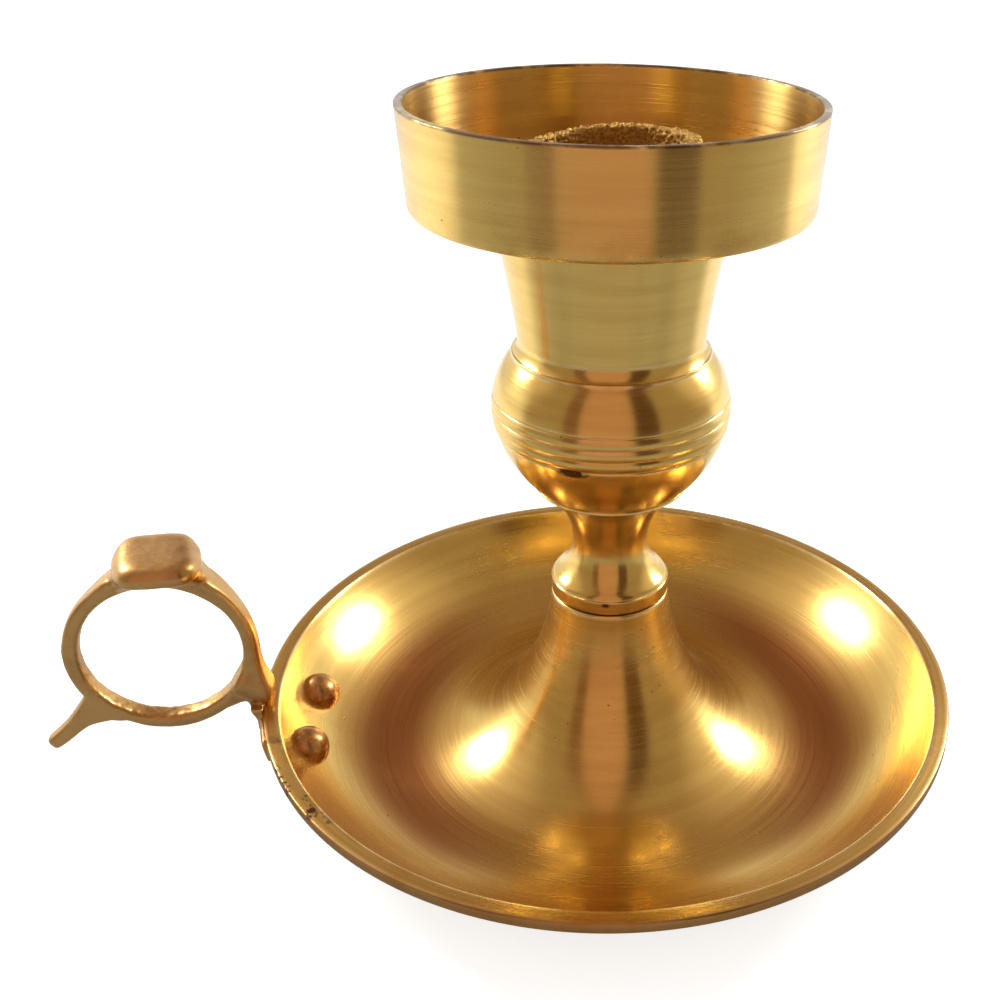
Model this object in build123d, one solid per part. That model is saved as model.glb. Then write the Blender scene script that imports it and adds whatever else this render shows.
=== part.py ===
from build123d import *
import math
import os

# Chamberstick in turned and cast brass, millimetres, +Z up.
# The origin is on the dish's axis at table level, and the finger loop points along -X.

# Drip dish, from its centre cone out to the rim
cone_top_radius = 10.0
cone_taper = 5.8
cone_height = 18.2
cone_top_round = 0.4
flare_width = 20.8
flare_height = 11.7
bowl_width = 20.9
bowl_depth = 13.1
dish_wall = 2.0
rim_land_width = 2.5
rim_band_height = 1.85
rim_round = 0.35
foot_height = 0.5
foot_width = 6.4

# Threaded stud that ties the pillar to the dish
stud_radius = 4.0
stud_thread_depth = 7.5
stud_socket_depth = 9.2
stud_end_gap = 0.4
stud_chamfer = 0.6
thread_clearance = 0.1

# Stem foot
seat_clearance = 0.05
seat_radius = 8.6
seam_gap = 0.35
collar_radius = 10.0
collar_height = 2.7
ovolo_radius = 9.75
ovolo_height = 0.85
ovolo_depth = 0.4
neck_radius = 6.4
neck_rise = 6.7
stem_flare_radius = 12.3
stem_flare_rise = 11.2

# Candle socket
ridge_radius = 12.6
ridge_height = 0.45
ridge_step = 0.2
belly_radius = 19.05
belly_rise = 13.3
belly_height = 0.8
belly_sag = 1.3
shoulder_radius = 15.7
shoulder_rise = 8.8
bead_height = 0.5
bead_step = 0.3
cove_radius = 14.5
cove_rise = 2.0
nozzle_step = 0.25
nozzle_middle_radius = 16.2
nozzle_top_radius = 18.4
nozzle_height = 20.4
candle_radius = 11.2
candle_depth = 28.0
tube_wall = 1.5
tube_height = 9.0
groove_count = 4
groove_pitch = 1.96
groove_radius = 0.32
groove_above_belly = 2.18

# Candle cup
cup_foot_radius = 30.0
cup_rim_radius = 30.8
cup_height = 15.0
cup_wall = 1.15
cup_floor = 2.2
cup_corner = 1.0
cup_inner_corner = 0.8
cup_hole_clearance = 0.3

# Finger loop
loop_hole_radius = 12.9
loop_offset = 14.9
loop_rise = 11.35
loop_band = 2.3
loop_width = 3.4
loop_corner_share = 0.3
loop_seam_angle = 180.0
loop_upper_steps = 16
loop_lower_steps = 8
full_turn = 360.0
saddle_band = 4.2
saddle_width = 7.4
saddle_angle = 84.0
saddle_band_spread = (66.0, 50.0)
saddle_width_spread = (74.0, 56.0)
pad_rise = 17.85
pad_shift = 1.8
pad_length = 9.6
pad_width = 15.0
pad_skew = 2.7
pad_corner = 3.4
pad_foot_rise = 13.2
pad_foot_length = 16.0
pad_foot_width = 4.6
pad_foot_corner = 2.0
pad_round = 0.9
root_width = 5.0
root_angle = -38.0
root_spread = (18.0, 34.0)
spur_angle = 220.0
spur_base_angle = 225.0
spur_length = 12.6
spur_base_height = 9.4
spur_tip_height = 2.4
spur_tip_width = 2.6
spur_steps = 4
lug_wall = 2.4
lug_width = 24.5
lug_height = 12.5
lug_drop = 1.2
lug_corner = 4.0
lug_clearance = 0.05
clasp_wall = 2.4
clasp_width = 8.4
clasp_height = 4.4
clasp_round = 0.6

# Rivets
front_rivet_side = 7.2
front_rivet_drop = 6.1
rear_rivet_side = 8.7
rear_rivet_drop = 6.9
rivet_shank_radius = 1.6
rivet_head_radius = 3.6
rivet_head_height = 3.2
rivet_tail_radius = 2.7
rivet_tail_height = 1.1
rivet_seat = 0.5
rivet_hole_clearance = 0.05

# One length that runs past every cut, and the half-way share of an arc
cut_overrun = 240.0
middle_share = 0.5

# Heights and places that follow from the driving dimensions
cone_flare_radius = cone_top_radius + cone_taper
valley_radius = cone_flare_radius + flare_width
rim_edge_radius = valley_radius + bowl_width
rim_radius = rim_edge_radius + rim_land_width
valley_height = foot_height + dish_wall
rim_height = valley_height + bowl_depth
cone_flare_height = valley_height + flare_height
cone_top_height = cone_flare_height + cone_height
stud_hole_radius = stud_radius + thread_clearance
stem_base_height = cone_top_height + seat_clearance
collar_top_height = stem_base_height + collar_height
neck_height = collar_top_height + neck_rise
stem_top_height = neck_height + stem_flare_rise
bulb_base_height = stem_top_height + ridge_height
belly_low_height = stem_top_height + belly_rise
belly_top_height = belly_low_height + belly_height
shoulder_height = belly_top_height + shoulder_rise
bead_top_height = shoulder_height + bead_height
nozzle_base_height = bead_top_height + cove_rise
nozzle_top_height = nozzle_base_height + nozzle_height
cup_floor_height = nozzle_top_height + cup_floor
tube_top_height = nozzle_top_height + tube_height
tube_radius = candle_radius + tube_wall
candle_floor_height = tube_top_height - candle_depth
stud_hole_top_height = stem_top_height + stud_socket_depth
loop_center_radius = rim_radius + loop_offset
loop_center_height = rim_height + loop_rise
loop_center = Vector(-loop_center_radius, 0, loop_center_height)
pad_center_radius = loop_center_radius - pad_shift
pad_height = loop_center_height + pad_rise
pad_foot_height = loop_center_height + pad_foot_rise
front_rivet_height = rim_height - front_rivet_drop
rear_rivet_height = rim_height - rear_rivet_drop


def turned(edges):
    """A solid of revolution about the dish's axis from edges drawn as (radius, height)."""
    return revolve(Plane.XZ * make_face(edges), Axis.Z)


def open_outline(points):
    """Straight edges that join the points in order."""
    return [Line(a, b) for a, b in zip(points, points[1:])]


def set_off(arc, wall):
    """The arc with the same centre, further out by the wall."""
    center = arc.arc_center
    grown = (arc.radius + wall) / arc.radius
    return ThreePointArc(*[center + (arc @ share - center) * grown for share in (0, middle_share, 1)])


def arc_radius_at(arc, height):
    """Distance from the axis to the outer side of an arc at a height."""
    rise = height - arc.arc_center.Y
    return arc.arc_center.X + math.sqrt(arc.radius**2 - rise**2)


# Inner face of the dish: the bowl, the flare of the centre cone and its upper sweep
valley_point = (valley_radius, valley_height)
flare_point = (cone_flare_radius, cone_flare_height)
cone_top_point = (cone_top_radius, cone_top_height)
rim_edge_point = (rim_edge_radius, rim_height)
bowl_arc = TangentArc(valley_point, rim_edge_point, tangent=(1, 0))
flare_arc = TangentArc(valley_point, flare_point, tangent=(-1, 0))
cone_arc = TangentArc(flare_point, cone_top_point, tangent=flare_arc % 1)
bowl_center = bowl_arc.arc_center


def dish_wall_layer(inner_offset, outer_offset):
    """A turned layer that follows the bowl between two offsets from its inner face."""
    inner = set_off(bowl_arc, inner_offset)
    outer = set_off(bowl_arc, outer_offset)
    return turned([inner, Line(inner @ 1, outer @ 1), outer, Line(outer @ 0, inner @ 0)])


def make_dish_shell():
    """The dish before its rivet holes: bowl, cone, boss, rim and foot ring."""
    under_bowl = set_off(bowl_arc, dish_wall)
    under_flare = set_off(flare_arc, dish_wall)
    under_cone = set_off(cone_arc, dish_wall)
    shell = turned(
        [
            bowl_arc,
            flare_arc,
            cone_arc,
            under_bowl,
            under_flare,
            under_cone,
            Line(bowl_arc @ 1, under_bowl @ 1),
            Line(cone_arc @ 1, under_cone @ 1),
        ]
    )
    core_outline = open_outline([cone_top_point, (0, cone_top_height), (0, cone_flare_height), flare_point])
    core = turned(core_outline + [cone_arc])
    boss_low = cone_top_height - stud_thread_depth
    boss = core & post(cone_flare_radius, boss_low, cone_top_height)
    rim = ring_between(rim_edge_radius, rim_radius, rim_height - rim_band_height, rim_height)
    foot_half = foot_width / 2
    foot_top = valley_height - dish_wall / 2
    foot = ring_between(valley_radius - foot_half, valley_radius + foot_half, 0, foot_top)
    dish = shell + boss + rim + foot
    rim_edges = [e for e in dish.edges().filter_by(GeomType.CIRCLE) if math.isclose(e.radius, rim_radius)]
    dish = fillet(rim_edges, rim_round)
    top_edge = dish.edges().filter_by(GeomType.CIRCLE).sort_by(Axis.Z)[-1]
    dish = fillet(top_edge, cone_top_round)
    return dish


def ring_between(inner_radius, outer_radius, low, high):
    """A plain turned ring with a rectangular section."""
    corners = [(inner_radius, low), (outer_radius, low), (outer_radius, high), (inner_radius, high)]
    return turned(open_outline(corners + corners[:1]))


def post(radius, low, high):
    """A plain upright cylinder on the axis."""
    return Pos(0, 0, (low + high) / 2) * Cylinder(radius, high - low)


def rivet_plane(side, height):
    """Where a rivet meets the bowl at a height and a distance beside the loop, facing into the bowl."""
    radius = arc_radius_at(bowl_arc, height)
    turn = math.degrees(math.asin(side / radius))
    seat = Vector(-radius, 0, height).rotate(Axis.Z, turn)
    inward = Vector(radius - bowl_center.X, 0, bowl_center.Y - height).rotate(Axis.Z, turn)
    return Plane(origin=seat, x_dir=Vector(0, 1, 0).rotate(Axis.Z, turn), z_dir=inward)


rivet_planes = {
    "rivet_front": rivet_plane(front_rivet_side, front_rivet_height),
    "rivet_rear": rivet_plane(-rear_rivet_side, rear_rivet_height),
}


def rivet_holes():
    """Through holes for both rivets, across the dish wall and the lug."""
    drill = Cylinder(rivet_shank_radius + rivet_hole_clearance, cut_overrun)
    return [plane * drill for plane in rivet_planes.values()]


def make_rivet(plane, dish_shell, lug_layer):
    """A round-headed rivet with its head in the bowl and its peened tail on the lug."""
    through = dish_wall + lug_clearance + lug_wall
    dome_radius = (rivet_head_radius**2 + rivet_head_height**2) / (2 * rivet_head_height)
    dome = Pos(0, 0, rivet_head_height - dome_radius) * Sphere(dome_radius)
    head = dome & Pos(0, 0, rivet_head_height / 2) * Cylinder(rivet_head_radius, rivet_head_height)
    head += Pos(0, 0, -rivet_seat / 2) * Cylinder(rivet_head_radius, rivet_seat)
    tail_top = -through + rivet_seat
    tail_height = rivet_tail_height + rivet_seat
    tail = Pos(0, 0, tail_top - tail_height / 2) * Cylinder(rivet_tail_radius, tail_height)
    tail = fillet(tail.edges().sort_by(Axis.Z)[0], rivet_tail_height * middle_share)
    shank_low = tail_top - tail_height / 2
    shank_high = rivet_head_height / 2
    shank = Pos(0, 0, (shank_low + shank_high) / 2) * Cylinder(rivet_shank_radius, shank_high - shank_low)
    seated_head = plane * head - dish_shell
    seated_tail = plane * tail - lug_layer
    return seated_head + seated_tail + plane * shank


def make_stud():
    """The round threaded stud, plain between its chamfered ends."""
    low = cone_top_height - stud_thread_depth
    high = stud_hole_top_height - stud_end_gap
    stud = post(stud_radius, low, high)
    return chamfer(stud.edges().filter_by(GeomType.CIRCLE), stud_chamfer)


def make_stem_foot():
    """The collar, bell and neck that stand on the cone."""
    ovolo_start = (ovolo_radius, collar_top_height)
    ovolo_end = (ovolo_radius - ovolo_depth, collar_top_height + ovolo_height)
    neck_point = (neck_radius, neck_height)
    flare_top = (stem_flare_radius, stem_top_height)
    lower = open_outline(
        [
            (stud_hole_radius, stem_top_height),
            (stud_hole_radius, stem_base_height),
            (seat_radius, stem_base_height),
            (seat_radius, stem_base_height + seam_gap),
            (collar_radius, stem_base_height + seam_gap),
            (collar_radius, collar_top_height),
            ovolo_start,
        ]
    )
    ovolo = TangentArc(ovolo_start, ovolo_end, tangent=(0, 1))
    bell = TangentArc(neck_point, ovolo_end, tangent=(0, -1))
    flare = TangentArc(neck_point, flare_top, tangent=(0, 1))
    return turned(lower + [ovolo, bell, flare, Line(flare_top, (stud_hole_radius, stem_top_height))])


def make_candle_socket():
    """The reeded bulb, the flared nozzle and the candle tube that stands on it."""
    bulb_start = (ridge_radius - ridge_step, bulb_base_height)
    belly_low = (belly_radius, belly_low_height)
    belly_top = (belly_radius, belly_top_height)
    shoulder = (shoulder_radius, shoulder_height)
    cove_start = (shoulder_radius - bead_step, bead_top_height)
    cove_end = (cove_radius, nozzle_base_height)
    nozzle_start = (cove_radius + nozzle_step, nozzle_base_height)
    nozzle_middle = (nozzle_middle_radius, nozzle_base_height + nozzle_height * middle_share)
    nozzle_end = (nozzle_top_radius, nozzle_top_height)
    lower_arc = SagittaArc(belly_low, bulb_start, belly_sag)
    upper_arc = TangentArc(belly_top, shoulder, tangent=(0, 1))
    bottom = open_outline(
        [
            (0, candle_floor_height),
            (0, stud_hole_top_height),
            (stud_hole_radius, stud_hole_top_height),
            (stud_hole_radius, stem_top_height),
            (ridge_radius, stem_top_height),
            (ridge_radius, bulb_base_height),
            bulb_start,
        ]
    )
    bead = open_outline([shoulder, (shoulder_radius, bead_top_height), cove_start])
    cove = TangentArc(cove_end, cove_start, tangent=(0, -1))
    nozzle = ThreePointArc(nozzle_start, nozzle_middle, nozzle_end)
    bores = open_outline(
        [
            nozzle_end,
            (tube_radius, nozzle_top_height),
            (tube_radius, tube_top_height),
            (candle_radius, tube_top_height),
            (candle_radius, candle_floor_height),
            (0, candle_floor_height),
        ]
    )
    bulb = [lower_arc, Line(belly_low, belly_top), upper_arc]
    socket = turned(bottom + bulb + bead + [cove, Line(cove_end, nozzle_start), nozzle] + bores)
    for index in range(groove_count):
        height = belly_top_height + groove_above_belly - index * groove_pitch
        radius = belly_radius
        if height > belly_top_height:
            radius = arc_radius_at(upper_arc, height)
        if height < belly_low_height:
            radius = arc_radius_at(lower_arc, height)
        socket -= Pos(0, 0, height) * Torus(radius, groove_radius)
    return socket


def make_candle_cup():
    """The drum-shaped drip cup, which drops over the candle tube and sits on the nozzle."""
    cup_top_height = nozzle_top_height + cup_height
    hole_radius = tube_radius + cup_hole_clearance
    foot_corner = (cup_foot_radius, nozzle_top_height)
    floor_corner = (cup_foot_radius - cup_wall, cup_floor_height)
    outline = [
        (hole_radius, nozzle_top_height),
        foot_corner,
        (cup_rim_radius, cup_top_height),
        (cup_rim_radius - cup_wall, cup_top_height),
        floor_corner,
        (hole_radius, cup_floor_height),
        (hole_radius, nozzle_top_height),
    ]
    section = make_face(open_outline(outline))
    section = fillet(section.vertices().sort_by_distance(foot_corner)[0], cup_corner)
    section = fillet(section.vertices().sort_by_distance(floor_corner)[0], cup_inner_corner)
    return revolve(Plane.XZ * section, Axis.Z)


def swell(angle, peak, spreads):
    """A share that rises smoothly to one at the peak angle and is zero past its spread on each side."""
    offset = (angle - peak + full_turn / 2) % full_turn - full_turn / 2
    spread = spreads[0] if offset < 0 else spreads[1]
    return math.cos(math.pi / 2 * min(abs(offset) / spread, 1)) ** 2


def loop_direction(angle):
    """The way out from the middle of the finger hole at an angle, in the loop's plane."""
    return Vector(math.cos(math.radians(angle)), 0, math.sin(math.radians(angle)))


def loop_section(angle):
    """A rounded section across the loop's band, at an angle round its hole."""
    root_band = loop_offset / math.cos(math.radians(root_angle)) - loop_hole_radius
    root_share = swell(angle, root_angle, root_spread)
    band_share = swell(angle, saddle_angle, saddle_band_spread)
    width_share = swell(angle, saddle_angle, saddle_width_spread)
    band = loop_band + band_share * (saddle_band - loop_band) + root_share * (root_band - loop_band)
    inner_half = (loop_width + root_share * (root_width - loop_width)) / 2
    outer_half = inner_half + width_share * (saddle_width - loop_width) / 2
    radial = loop_direction(angle)
    tangent = radial.rotate(Axis.Y, -90)
    plane = Plane(origin=loop_center + radial * loop_hole_radius, x_dir=radial, z_dir=tangent)
    corners = [(0, -inner_half), (band, -outer_half), (band, outer_half), (0, inner_half)]
    section = make_face(open_outline(corners + corners[:1]))
    return plane * fillet(section.vertices(), loop_corner_share * loop_band)


def loop_stretch(first_angle, last_angle, steps):
    """Part of the loop's band, lofted through evenly spaced sections."""
    turn = (last_angle - first_angle) / steps
    return loft([loop_section(first_angle + step * turn) for step in range(steps + 1)])


def make_pad():
    """The thumb pad: a flat cushion on top that narrows to the band under it, filed a little askew."""
    foot_plane = Plane(origin=(-pad_center_radius, 0, pad_foot_height))
    top_plane = Plane(origin=(-pad_center_radius, 0, pad_height))
    foot = foot_plane * RectangleRounded(pad_foot_length, pad_foot_width, pad_foot_corner)
    half_length = pad_length / 2
    half_width = pad_width / 2
    half_skew = pad_skew / 2
    corners = [
        (half_skew - half_length, -half_width),
        (half_skew + half_length, -half_width),
        (half_length - half_skew, half_width),
        (-half_length - half_skew, half_width),
    ]
    outline = make_face(open_outline(corners + corners[:1]))
    top = top_plane * fillet(outline.vertices(), pad_corner)
    pad = loft([foot, top])
    top_face = pad.faces().sort_by(Axis.Z)[-1]
    return fillet(top_face.edges(), pad_round)


def make_spur():
    """The short tapered tail under the outer side of the loop."""
    start = loop_center + loop_direction(spur_base_angle) * (loop_hole_radius + loop_band / 2)
    tip = loop_center + loop_direction(spur_angle) * (loop_hole_radius + loop_band / 2 + spur_length)
    along = tip - start
    sections = []
    for step in range(spur_steps + 1):
        share = step / spur_steps
        height = spur_tip_height + (spur_base_height - spur_tip_height) * (1 - share) ** 2
        width = loop_width + share * (spur_tip_width - loop_width)
        plane = Plane(origin=start + along * share, x_dir=(0, 1, 0), z_dir=along)
        sections.append(plane * RectangleRounded(width, height, loop_corner_share * spur_tip_height))
    spur = loft(sections)
    tip_face = spur.faces().sort_by_distance(tip)[0]
    return fillet(tip_face.edges(), loop_corner_share * spur_tip_height)


def make_lug():
    """A curved plate under the rim, hugging the outer wall of the bowl."""
    inner_offset = dish_wall + lug_clearance
    layer = dish_wall_layer(inner_offset, inner_offset + lug_wall)
    center_height = rim_height - rim_band_height + lug_drop - lug_height / 2
    outline_plane = Plane(origin=(-valley_radius, 0, center_height), x_dir=(0, 1, 0), z_dir=(-1, 0, 0))
    outline = outline_plane * RectangleRounded(lug_width, lug_height, lug_corner)
    return layer & extrude(outline, cut_overrun)


def make_clasp():
    """The thick part of the lug against the rim, where the loop's root stands on it."""
    inner_radius = rim_radius + lug_clearance
    high = rim_height
    low = high - clasp_height
    ring = ring_between(inner_radius, inner_radius + clasp_wall, low, high)
    slab = Pos(-inner_radius, 0, (low + high) / 2) * Box(rim_radius, clasp_width, clasp_height)
    clasp = ring & slab
    outer_corners = clasp.edges().filter_by(Axis.Z).sort_by(Axis.X)[:2]
    return fillet(outer_corners, clasp_round)


def make_rim_clearance():
    """The rim band with a little room round it, which the loop's root has to stay out of."""
    low = rim_height - rim_band_height - lug_clearance
    return post(rim_radius + lug_clearance, low, rim_height + lug_clearance)


def make_finger_loop(lug_layer):
    """A signet-ring loop with a flat thumb pad, a spur, and a riveted lug."""
    upper = loop_stretch(root_angle, loop_seam_angle, loop_upper_steps)
    lower = loop_stretch(loop_seam_angle, root_angle + full_turn, loop_lower_steps)
    ring = upper + lower + make_pad() + make_spur()
    ring -= Plane(origin=loop_center, z_dir=(0, 1, 0)) * Cylinder(loop_hole_radius, cut_overrun)
    loop = ring + lug_layer + make_clasp() - make_rim_clearance()
    for hole in rivet_holes():
        loop -= hole
    return loop


def make_parts():
    """Every piece of the chamberstick by its name."""
    dish_shell = make_dish_shell()
    lug_layer = make_lug()
    dish = dish_shell - post(stud_hole_radius, 0, cut_overrun)
    for hole in rivet_holes():
        dish -= hole
    pieces = {
        "drip_dish": dish,
        "finger_loop": make_finger_loop(lug_layer),
        "stem_stud": make_stud(),
        "stem_foot": make_stem_foot(),
        "candle_socket": make_candle_socket(),
        "candle_cup": make_candle_cup(),
    }
    for name, plane in rivet_planes.items():
        pieces[name] = make_rivet(plane, dish_shell, lug_layer)
    return pieces


os.makedirs("parts", exist_ok=True)
for piece_name, piece in make_parts().items():
    export_step(piece, f"parts/{piece_name}.step")
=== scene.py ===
import math

import bmesh
import bpy
from mathutils import Matrix, Quaternion, Vector, noise


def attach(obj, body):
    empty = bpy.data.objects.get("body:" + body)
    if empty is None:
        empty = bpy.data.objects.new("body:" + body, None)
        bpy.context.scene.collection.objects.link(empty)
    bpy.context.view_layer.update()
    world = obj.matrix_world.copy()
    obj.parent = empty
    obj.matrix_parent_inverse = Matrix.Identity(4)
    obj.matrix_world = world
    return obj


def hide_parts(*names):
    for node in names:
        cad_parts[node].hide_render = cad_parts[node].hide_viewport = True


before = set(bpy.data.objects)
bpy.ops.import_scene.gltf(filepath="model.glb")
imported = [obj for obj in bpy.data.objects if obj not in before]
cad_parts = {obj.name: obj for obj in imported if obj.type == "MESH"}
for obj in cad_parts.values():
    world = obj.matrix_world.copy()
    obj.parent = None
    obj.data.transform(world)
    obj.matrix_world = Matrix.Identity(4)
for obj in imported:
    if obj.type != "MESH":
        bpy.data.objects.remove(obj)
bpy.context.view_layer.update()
print("stage: frame loaded")

mm = 0.001
up = Vector((0, 0, 1))


# mesh helpers

def profileSpot(radius, height):
    return Vector((radius * mm, 0, height * mm))


def drawProfile(bm, start, strokes, fine):
    # each stroke is (radius, height) for a line, or (radius, height, bend) for an arc, bend > 0 turning left
    last = bm.verts.new(profileSpot(*start))
    for stroke in strokes:
        here = last.co.copy()
        there = profileSpot(stroke[0], stroke[1])
        chord = there - here
        if len(stroke) == 2:
            steps = max(1, round(chord.length / (fine * mm)))
            for step in range(steps):
                last = bmesh.ops.extrude_vert_indiv(bm, verts=[last])["verts"][0]
                bmesh.ops.translate(bm, verts=[last], vec=chord / steps)
        else:
            turn = math.radians(stroke[2])
            reach = chord.length / (2 * math.tan(turn / 2))
            left = Vector((-chord.z, 0, chord.x)).normalized()
            center = (here + there) / 2 + left * reach
            steps = max(4, int(abs(turn) * (here - center).length / (fine * mm)))
            swung = bmesh.ops.spin(bm, geom=[last], cent=center, axis=(0, -1, 0), angle=turn, steps=steps)
            last = [v for v in swung["geom_last"] if isinstance(v, bmesh.types.BMVert)][0]
    return last


def latheSpin(bm, steps):
    bmesh.ops.spin(bm, geom=bm.verts[:] + bm.edges[:], cent=(0, 0, 0), axis=up,
                   angle=2 * math.pi, steps=steps, use_merge=True)
    bmesh.ops.remove_doubles(bm, verts=bm.verts[:], dist=0.002 * mm)
    bmesh.ops.recalc_face_normals(bm, faces=bm.faces[:])


def breakEdges(bm, width, segments=3, sharpest=32):
    # rounds every crisp ring and marks it for the wear
    edgeLayer = bm.verts.layers.float.get("edge") or bm.verts.layers.float.new("edge")
    crisp = [e for e in bm.edges if e.is_manifold and e.calc_face_angle(0) > math.radians(sharpest)]
    rounded = bmesh.ops.bevel(bm, geom=crisp, offset=width * mm, offset_type="OFFSET", segments=segments,
                              profile=0.5, affect="EDGES", clamp_overlap=True, material=-1)
    for v in rounded["verts"]:
        v[edgeLayer] = 1


def roughen(bm, inside, depth, scale, seed):
    # pushes the chosen vertices in and out along their normals, as sand-cast metal is
    bm.normal_update()
    for v in bm.verts:
        share = inside(v.co)
        if share > 0:
            wave = noise.noise(v.co * scale + Vector((seed, 0, 0)))
            fineWave = noise.noise(v.co * scale * 2.7 + Vector((0, seed, 0)))
            v.co += v.normal * (wave + 0.5 * fineWave) * depth * mm * share


def markEdges(bm, low, high):
    # "edge" grows on convex bends, "hollow" in creases
    bm.normal_update()
    edgeLayer = bm.verts.layers.float.new("edge")
    hollowLayer = bm.verts.layers.float.new("hollow")
    for v in bm.verts:
        ways = [(e.other_vert(v).co - v.co).normalized() for e in v.link_edges]
        bend = -sum(way.dot(v.normal) for way in ways) / len(ways)
        v[edgeLayer] = smoothShare(low, high, bend)
        v[hollowLayer] = smoothShare(low, high, -bend)


def finishPiece(name, bm, body, node, material):
    mesh = bpy.data.meshes.new(name)
    bm.to_mesh(mesh)
    bm.free()
    mesh.shade_smooth()
    piece = bpy.data.objects.new(name, mesh)
    bpy.context.collection.objects.link(piece)
    piece.data.materials.append(material)
    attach(piece, body)
    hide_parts(node)
    return piece


def smoothShare(low, high, value):
    t = min(max((value - low) / (high - low), 0), 1)
    return t * t * (3 - 2 * t)


# node helpers

def put(tree, kind, settings=None, feeds=None):
    node = tree.nodes.new("ShaderNode" + kind)
    for key, value in (settings or {}).items():
        setattr(node, key, value)
    for key, value in (feeds or {}).items():
        if isinstance(value, bpy.types.NodeSocket):
            tree.links.new(value, node.inputs[key])
        else:
            node.inputs[key].default_value = value
    return node


def math2(tree, operation, a, b=0.0, clamp=False):
    return put(tree, "Math", {"operation": operation, "use_clamp": clamp}, {0: a, 1: b}).outputs[0]


def ease(tree, value, low, high, toLow=0.0, toHigh=1.0):
    node = put(tree, "MapRange", {"interpolation_type": "SMOOTHSTEP"},
               {0: value, 1: low, 2: high, 3: toLow, 4: toHigh})
    return node.outputs[0]


def blend(tree, share, first, second, kind="MIX"):
    node = put(tree, "Mix", {"data_type": "RGBA", "blend_type": kind}, {0: share, 6: first, 7: second})
    return node.outputs[2]


def newGroup(name, inputs, outputs):
    group = bpy.data.node_groups.new(name, "ShaderNodeTree")
    for label, value in inputs.items():
        socket = group.interface.new_socket(label, in_out="INPUT", socket_type="NodeSocketFloat")
        socket.default_value = value
    for label in outputs:
        group.interface.new_socket(label, in_out="OUTPUT", socket_type="NodeSocketFloat")
    return group, group.nodes.new("NodeGroupInput").outputs, group.nodes.new("NodeGroupOutput").inputs


def useGroup(tree, group, feeds):
    node = put(tree, "Group", {"node_tree": group}, feeds)
    return node.outputs


# shared surface effects

def makeTurningMarks():
    # rings left by the lathe: noise over radius and height that hardly changes round the axis
    group, given, out = newGroup("turningMarks", {"Scale": 2400, "Round": 3}, ["Height", "Streak"])
    spot = put(group, "TexCoord").outputs["Object"]
    axes = put(group, "SeparateXYZ", None, {0: spot}).outputs
    flat = put(group, "CombineXYZ", None, {0: axes[0], 1: axes[1]}).outputs[0]
    radius = put(group, "VectorMath", {"operation": "LENGTH"}, {0: flat}).outputs["Value"]
    way = put(group, "VectorMath", {"operation": "NORMALIZE"}, {0: flat}).outputs[0]
    wayAxes = put(group, "SeparateXYZ", None, {0: way}).outputs
    ringSpot = put(group, "CombineXYZ", None, {
        0: math2(group, "MULTIPLY", radius, given["Scale"]),
        1: math2(group, "MULTIPLY", axes[2], given["Scale"]),
        2: math2(group, "MULTIPLY", wayAxes[0], given["Round"]),
    }).outputs[0]
    wayRound = math2(group, "MULTIPLY", wayAxes[1], given["Round"])
    marks = put(group, "TexNoise", {"noise_dimensions": "4D"},
                {"Vector": ringSpot, "W": wayRound, "Scale": 1.0, "Detail": 3.0, "Roughness": 0.65})
    broad = put(group, "VectorMath", {"operation": "MULTIPLY"}, {0: ringSpot, 1: (0.16, 0.16, 1.0)}).outputs[0]
    bands = put(group, "TexNoise", {"noise_dimensions": "4D"},
                {"Vector": broad, "W": wayRound, "Scale": 1.0, "Detail": 2.0})
    group.links.new(marks.outputs[0], out["Height"])
    group.links.new(ease(group, bands.outputs[0], 0.35, 0.68), out["Streak"])
    return group


def makeTarnish():
    # cloudy brown film, denser where Amount is high
    group, given, out = newGroup("tarnish", {"Scale": 60, "Amount": 0.4}, ["Mask"])
    spot = put(group, "TexCoord").outputs["Object"]
    clouds = put(group, "TexNoise", None, {"Vector": spot, "Scale": given["Scale"], "Detail": 6.0, "Roughness": 0.62})
    low = math2(group, "SUBTRACT", 0.78, math2(group, "MULTIPLY", given["Amount"], 0.5))
    high = math2(group, "ADD", low, 0.22)
    group.links.new(ease(group, clouds.outputs[0], low, high), out["Mask"])
    return group


def makePits():
    # scattered pinholes of cast brass, with dirt in them
    group, given, out = newGroup("pits", {"Scale": 900, "Share": 0.25, "Size": 0.3}, ["Mask", "Height"])
    spot = put(group, "TexCoord").outputs["Object"]
    cells = put(group, "TexVoronoi", None, {"Vector": spot, "Scale": given["Scale"], "Randomness": 1.0})
    tint = put(group, "SeparateColor", None, {0: cells.outputs["Color"]}).outputs
    chosen = math2(group, "LESS_THAN", tint[0], given["Share"])
    size = math2(group, "MULTIPLY", given["Size"], ease(group, tint[1], 0.0, 1.0, 0.35, 1.0))
    hole = ease(group, math2(group, "DIVIDE", cells.outputs["Distance"], size), 0.5, 1.0, 1.0, 0.0)
    mask = math2(group, "MULTIPLY", hole, chosen)
    group.links.new(mask, out["Mask"])
    group.links.new(math2(group, "SUBTRACT", 1.0, mask), out["Height"])
    return group


def makeEdgeWear():
    # handled edges rub bright, unevenly
    group, given, out = newGroup("edgeWear", {"Scale": 220, "Amount": 0.7}, ["Mask"])
    edge = put(group, "Attribute", {"attribute_name": "edge"}).outputs["Fac"]
    spot = put(group, "TexCoord").outputs["Object"]
    rub = put(group, "TexNoise", None, {"Vector": spot, "Scale": given["Scale"], "Detail": 3.0}).outputs[0]
    mask = math2(group, "MULTIPLY", edge, ease(group, rub, 0.3, 0.6))
    group.links.new(math2(group, "MULTIPLY", mask, given["Amount"]), out["Mask"])
    return group


turningMarks = makeTurningMarks()
tarnish = makeTarnish()
pits = makePits()
edgeWear = makeEdgeWear()
print("stage: shared effects ready")


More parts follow.
